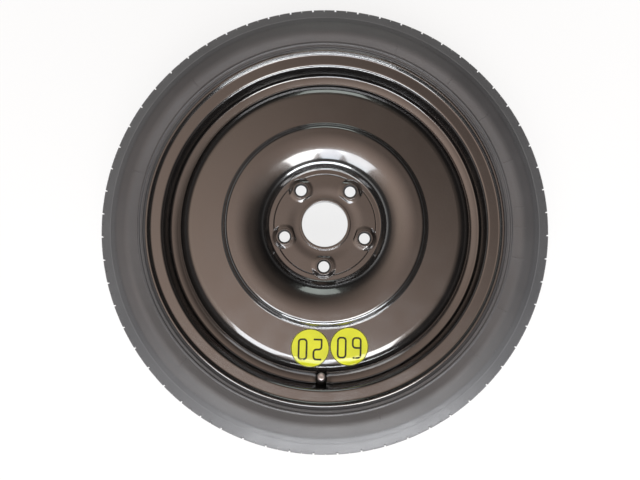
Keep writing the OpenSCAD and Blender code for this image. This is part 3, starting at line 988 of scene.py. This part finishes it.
tyre_rubber = make_finish(
    "tyre rubber", ((0.042, 0.042, 0.045), (0.056, 0.056, 0.059)),
    shade=(14.0, 4.0), rough=(30.0, 4.0, 0.42, 0.52), bump=(900.0, 2.0, 0.35, 0.0002),
    specks=(420.0, 0.12, (0.15, 0.15, 0.145)),
    constants={"Specular IOR Level": 0.85, "Sheen Weight": 0.12, "Sheen Roughness": 0.5,
               "Sheen Tint": (0.7, 0.72, 0.75, 1)})
run_tree(tyre, round_tree, count=notch_count, finish=tyre_rubber)
tyre.data.shade_smooth()
tyre.data.set_sharp_from_angle(angle=math.radians(35))


def on_sidewall(r, lift):
    for a, b in zip(tyre_side, tyre_side[1:]):
        if b.x <= r <= a.x and a.x > b.x:
            return middle_z + b.y + (a.y - b.y) * (r - b.x) / (a.x - b.x) + lift
    return middle_z + tyre_half + lift


mould_marks, mark_faces = [], []


def raise_mark(angle, outline_r, half_wide, height):
    first = len(mould_marks)
    for r in outline_r:
        for across, lift in ((-half_wide, -0.15), (-half_wide * 0.5, height),
                             (half_wide * 0.5, height), (half_wide, -0.15)):
            turned = angle + across / r
            mould_marks.append((r * math.cos(turned), r * math.sin(turned), on_sidewall(r, lift)))
    for k in range(len(outline_r) - 1):
        for j in range(4):
            n = (j + 1) % 4
            mark_faces.append((first + 4 * k + j, first + 4 * k + n,
                               first + 4 * k + 4 + n, first + 4 * k + 4 + j))
    last = first + 4 * (len(outline_r) - 1)
    mark_faces.append((first + 3, first + 2, first + 1, first))
    mark_faces.append((last, last + 1, last + 2, last + 3))


for degrees in (0, -9, -25, -40, -73, -134, -194, -226, -291, -310, -325, -340, -354):
    raise_mark(math.radians(degrees), [231.5 + 3.0 * i for i in range(6)], 0.45, 0.3)
vent_count = 48
for i in range(vent_count):
    raise_mark(math.radians(360 / vent_count * i + 2), (256.2, 256.8, 257.4), 0.4, 0.35)
ribs = finish_mesh("sidewall_mould_marks", mould_marks, mark_faces, 40)
ribs.data.materials.append(tyre_rubber)
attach(ribs, "wheel")
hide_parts("tyre")
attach(tyre, "wheel")

# Valve: a snap-in stem of moulded rubber round a brass tube, with the core
# screwed into it and a plated cap on its thread.
rubber_length, thread_length, thread_r = 12.0, 11.0, 3.8
neck_r, stem_hollow, press_gap = valve_hole_r - 0.05, 2.9, 0.05
stem_foot = -spot_wall - press_gap


def on_valve(outline, columns):
    spun_points, spun_faces = spun(outline, columns)
    return [tuple(valve_place @ Vector(p)) for p in spun_points], spun_faces


stem_outline = [Vector(p) for p in (
    (stem_hollow, stem_foot - 7), (5.0, stem_foot - 7), (5.5, stem_foot - 6.8),
    (6.9, stem_foot - 5), (7.2, stem_foot - 3.6), (7.4, stem_foot - 1.4), (7.35, stem_foot - 0.8),
    (7.0, stem_foot - 0.3), (6.6, stem_foot), (neck_r, stem_foot), (neck_r, press_gap),
    (6.9, press_gap), (7.05, 0.25), (7.3, 1.0), (7.3, 1.35), (7.15, 2.0), (7.0, 2.4),
    (6.65, 3.1), (6.25, 4.2), (5.95, 5.6), (5.65, 7.2), (5.5, 9.0), (5.3, 11.0), (5.2, 11.3),
    (4.9, 11.8), (4.5, rubber_length), (stem_hollow, rubber_length),
)]
stem = finish_mesh("valve_stem", *on_valve(stem_outline, 96), 40)
stem_rubber = make_finish(
    "valve rubber", ((0.014, 0.014, 0.014), (0.03, 0.03, 0.03)),
    shade=(120.0, 3.0), rough=(200.0, 2.0, 0.45, 0.6), bump=(2500.0, 2.0, 0.3, 0.0001),
    constants={"Specular IOR Level": 0.4})
stem.data.materials.append(stem_rubber)
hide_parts("valve_rubber")
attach(stem, "wheel")

core_metal = make_finish(
    "turned brass", ((0.55, 0.40, 0.16), (0.74, 0.58, 0.28)),
    shade=(350.0, 4.0), rough=(500.0, 3.0, 0.22, 0.4), bump=(4000.0, 2.0, 0.12, 0.00003),
    constants={"Metallic": 1.0})

thread_pitch, thread_turns, thread_depth = 0.794, 12, 0.42
tube_top, chamber_r, passage_r = rubber_length + thread_length, 2.65, 1.7
chamber_foot = tube_top - 9
seat_foot = chamber_foot - 2.6
core_foot = seat_foot - 4
tube_columns, tube_rows = 48, 8


def threaded_tube():
    points, faces, grid = [], [], []
    for j in range(tube_columns + 1):
        phase = j / tube_columns
        column = [(passage_r, -spot_wall - 6.0), (stem_hollow, -spot_wall - 6.0),
                  (stem_hollow, rubber_length)]
        for k in range(thread_turns * tube_rows + 1):
            z = rubber_length + 0.4 + thread_pitch * k / tube_rows
            t = (k / tube_rows + phase) % 1.0
            crest = min(1.0, max(0.0, 1.5 - 3.6 * abs(t - 0.5)))
            fade = min(1.0, k / 6, (thread_turns * tube_rows - k) / 6)
            column.append((thread_r - thread_depth * (1 - crest * fade), z))
        column += [(thread_r - 0.45, tube_top - 0.25), (thread_r - 0.7, tube_top),
                   (chamber_r, tube_top), (chamber_r, chamber_foot),
                   (passage_r + 0.25, seat_foot), (passage_r + 0.25, core_foot - 1),
                   (passage_r, core_foot - 1.6)]
        a = 2 * math.pi * phase
        grid.append(len(points))
        points += [(r * math.cos(a), r * math.sin(a), z) for r, z in column]
        count = len(column)
    for j in range(tube_columns):
        for i in range(count):
            n = (i + 1) % count
            faces.append((grid[j] + i, grid[j + 1] + i, grid[j + 1] + n, grid[j] + n))
    return [tuple(valve_place @ Vector(p)) for p in points], faces


brass_tube = finish_mesh("valve_brass_tube", *threaded_tube(), 50)
brass_tube.data.materials.append(core_metal)
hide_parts("valve_tube")
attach(brass_tube, "wheel")

# Valve core: its body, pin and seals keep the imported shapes, because they are
# plain turned pieces a few millimetres across inside the tube.
red_seal = make_finish(
    "red sealing rubber", ((0.25, 0.03, 0.02), (0.42, 0.06, 0.045)),
    shade=(900.0, 3.0), rough=(1500.0, 2.0, 0.42, 0.6), bump=(5000.0, 2.0, 0.2, 0.00003),
    constants={})
spring_wire = make_finish(
    "spring wire", ((0.48, 0.48, 0.5), (0.66, 0.66, 0.68)),
    shade=(1200.0, 3.0), rough=(3000.0, 2.0, 0.2, 0.35),
    bump=(3000.0, 2.0, 0.2, 0.35, 0.2, 0.00002), constants={"Metallic": 1.0})


for node, finish in (
    ("core_body", core_metal), ("valve_pin", core_metal), ("core_seal", red_seal),
    ("pin_seal", stem_rubber), ("cap_seal", stem_rubber),
):
    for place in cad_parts[node].material_slots:
        place.link = "OBJECT"
        place.material = finish

# Core spring: a coil of fine wire between the core's body and the pin's collar,
# copied from its imported shape, with doubled points merged and smooth shading.
coil_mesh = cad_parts["core_spring"].data.copy()
coil_mesh.name = "spring_coil"
coil_mesh.materials.clear()
coil_mesh.materials.append(spring_wire)
coil_shell = bmesh.new()
coil_shell.from_mesh(coil_mesh)
bmesh.ops.remove_doubles(coil_shell, verts=coil_shell.verts, dist=0.002 * mm)
coil_shell.to_mesh(coil_mesh)
coil_shell.free()
coil_mesh.shade_smooth()
coil = bpy.data.objects.new("spring_coil", coil_mesh)
scene.collection.objects.link(coil)
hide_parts("core_spring")
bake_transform(coil)

# Valve cap: a small turned cap with a satin plated skin, a knurled skirt and a
# slightly dished end. It screws onto the tube and comes off upwards.
cap_r, cap_length = 5.1, 12.8
cap_base = rubber_length + 0.6
cap_top = cap_base + cap_length
cap_bore = thread_r + 0.06
cap_roof = cap_top - 1.4
grip_count, grip_r = 18, 0.55
cap_profile = rounded([
    (cap_bore, cap_base, 0), (cap_r - 0.4, cap_base, 0.2), (cap_r, cap_base + 0.5, 0.3),
    (cap_r, cap_top - 2.0, 0.8), (cap_r - 0.75, cap_top - 0.55, 0.8),
    (cap_r - 2.2, cap_top - 0.02, 1.2), (cap_r - 3.4, cap_top - 0.12, 0.6),
    (0.0, cap_top - 0.3, 0),
], 4)
cap_inside = [Vector(p) for p in ((0.0, cap_roof), (cap_bore, cap_roof))]


def knurled_cap():
    points, faces = [], []
    ring_count = grip_count * 8
    outline = cap_profile + cap_inside
    rows = []
    for r, z in outline:
        if r < 1e-6:
            rows.append([len(points)] * ring_count)
            points.append((0, 0, z))
            continue
        rows.append(list(range(len(points), len(points) + ring_count)))
        for j in range(ring_count):
            a = 2 * math.pi * j / ring_count
            reach = r
            if r > cap_r - 0.5 and cap_base < z < cap_top - 1.0:
                step = 2 * math.pi / grip_count
                off = (a + step / 2) % step - step / 2
                dx = cap_r + grip_r * 0.55
                sweep = grip_r ** 2 - (dx * math.sin(off)) ** 2
                if sweep > 0:
                    reach = min(reach, dx * math.cos(off) - math.sqrt(sweep))
            points.append((reach * math.cos(a), reach * math.sin(a), z))
    for low, high in zip(rows, rows[1:] + rows[:1]):
        for j in range(ring_count):
            n = (j + 1) % ring_count
            face = [low[j], low[n], high[n], high[j]]
            face = [v for i, v in enumerate(face) if v not in face[:i]]
            if len(face) > 2:
                faces.append(tuple(face))
    return [tuple(valve_place @ Vector(p)) for p in points], faces


cap = finish_mesh("valve_screw_cap", *knurled_cap(), 38)
cap_plate = make_finish(
    "plated cap", ((0.42, 0.37, 0.36), (0.70, 0.66, 0.65)),
    shade=(450.0, 4.0), rough=(700.0, 3.0, 0.3, 0.48), bump=(450.0, 4.0, 0.15, 0.00004),
    constants={"Metallic": 0.9})
cap.data.materials.append(cap_plate)
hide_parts("valve_cap")
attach(cap, "cap")

# Labels: two round yellow films stuck side by side on the disc's face, bent
# down over its outer edge, with a dark rim and a plain number printed on each.
label_r, label_wall = 23.5, 0.25
label_radius = (groove_r + disc_r) / 2 - 2.2
label_spread = 2 * math.asin((2 * label_r + 0.7) / 2 / label_radius)
label_turns = {"left": math.radians(-95.4), "right": math.radians(-95.4) + label_spread}
ink_lift, ink_width = 0.03, 2.3
edge_inset, edge_width = 0.55, 0.9
film_shift = shifted(disc_line, disc_skin + label_wall)


def film_height(p):
    return height_on(film_shift, p.length)


def label_centre(side):
    turn = label_turns[side]
    return Vector((label_radius * math.cos(turn), label_radius * math.sin(turn)))


def film_mesh(side):
    centre, points, faces, rows = label_centre(side), [], [], []
    count = 96
    for k in range(0, 21):
        radius = label_r * k / 20
        rows.append(list(range(len(points), len(points) + (count if k else 1))))
        for p in (ring(radius, count, centre) if k else [centre]):
            points.append((p.x, p.y, film_height(p)))
    foot = list(range(len(points), len(points) + count))
    for p in ring(label_r, count, centre):
        points.append((p.x, p.y, height_on(disc_top, p.length) + 0.01))
    for low, high in zip(rows, rows[1:] + [foot]):
        for j in range(count):
            n = (j + 1) % count
            if len(low) == 1:
                faces.append((low[0], high[j], high[n]))
            else:
                faces.append((low[j], high[j], high[n], low[n]))
    under = len(points)
    points.append((centre.x, centre.y, height_on(disc_top, centre.length) + 0.01))
    faces += [(under, foot[(j + 1) % count], foot[j]) for j in range(count)]
    return points, faces


def arc(cx, cy, radius, start, stop, steps=8):
    turns = [math.radians(start + (stop - start) * i / steps) for i in range(steps + 1)]
    return [Vector((cx + radius * math.cos(a), cy + radius * math.sin(a))) for a in turns]


digit_wide, digit_high, digit_bend = 9.6, 24.0, 3.6
w, h, b = digit_wide / 2, digit_high / 2, digit_bend
digit_lines = {
    "0": [arc(w - b, h - b, b, 0, 90) + arc(-w + b, h - b, b, 90, 180)
          + arc(-w + b, -h + b, b, 180, 270) + arc(w - b, -h + b, b, 270, 360)
          + [Vector((w, h - b))]],
    "2": [[Vector((-w, h))] + arc(w - b, h - b, b, 90, 0) + arc(w - b, b, b, 0, -90)
          + arc(-w + b, -b, b, 90, 180) + [Vector((-w, -h)), Vector((w, -h))]],
    "6": [[Vector((w, h))] + arc(-w + b, h - b, b, 90, 180)
          + arc(-w + b, -h + b, b, 180, 270) + arc(w - b, -h + b, b, 270, 360)
          + arc(w - b, -b, b, 0, 90) + [Vector((-w + 0.4, 0))]],
}
label_numbers = {"left": "20", "right": "60"}
digit_gap, digit_drop = 9.1, 1.4


def print_mesh(side):
    centre, points, faces = label_centre(side), [], []

    def place(u, v):
        return Vector((centre.x - u, centre.y - v))

    def stroke(line, width, closed):
        if closed:
            line = line[:-1]
        dense = []
        pairs = list(zip(line, line[1:] + line[:1] if closed else line[1:]))
        for a, c in pairs:
            parts = max(1, int((c - a).length / 1.2))
            dense += [a + (c - a) * i / parts for i in range(parts)]
        if not closed:
            dense.append(line[-1])
        first, count = len(points), len(dense)
        for i, p in enumerate(dense):
            before = dense[i - 1] if closed or i else p
            after = dense[(i + 1) % count] if closed or i < count - 1 else p
            h = unit(after - before)
            across = Vector((-h.y, h.x)) * width / 2
            for q, up in ((p - across, 0), (p - across * 0.96, 1), (p + across * 0.96, 1),
                          (p + across, 0)):
                spot = place(q.x, q.y)
                points.append((spot.x, spot.y, film_height(spot) + (ink_lift if up else 0.002)))
        for i in range(count if closed else count - 1):
            n = (i + 1) % count
            for k in range(4):
                m = (k + 1) % 4
                faces.append((first + i * 4 + k, first + n * 4 + k, first + n * 4 + m,
                              first + i * 4 + m))
        if not closed:
            for i in (0, count - 1):
                faces.append(tuple(first + i * 4 + k for k in range(4)))

    edge = arc(0, 0, label_r - edge_inset, 0, 360, 120)
    stroke(edge, edge_width, True)
    for number, digit in enumerate(label_numbers[side]):
        for line in digit_lines[digit]:
            moved = [p + Vector((digit_gap * (2 * number - 1), digit_drop)) for p in line]
            closed = (moved[0] - moved[-1]).length < 0.01
            stroke(moved, ink_width, closed)
    return points, faces


label_yellow = make_finish(
    "yellow label film", ((0.50, 0.53, 0.002), (0.60, 0.62, 0.005)),
    shade=(45.0, 3.0), rough=(90.0, 3.0, 0.34, 0.46), bump=(160.0, 2.0, 0.12, 0.0002),
    constants={"Coat Weight": 1.0, "Coat Roughness": 0.12, "Coat IOR": 1.5,
               "Specular IOR Level": 0.2})
label_ink = make_finish(
    "black label print", ((0.012, 0.011, 0.002), (0.03, 0.028, 0.006)),
    shade=(400.0, 3.0), rough=(300.0, 2.0, 0.4, 0.55),
    bump=(300.0, 2.0, 0.4, 0.55, 0.1, 0.00003), constants={"Specular IOR Level": 0.25})
for side in ("left", "right"):
    label = finish_mesh("label_film_" + side, *film_mesh(side), 40)
    label.data.materials.append(label_yellow)
    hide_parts("label_" + side)
    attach(label, "wheel")
    number = finish_mesh("label_print_" + side, *print_mesh(side), 40)
    number.data.materials.append(label_ink)
    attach(number, "wheel")
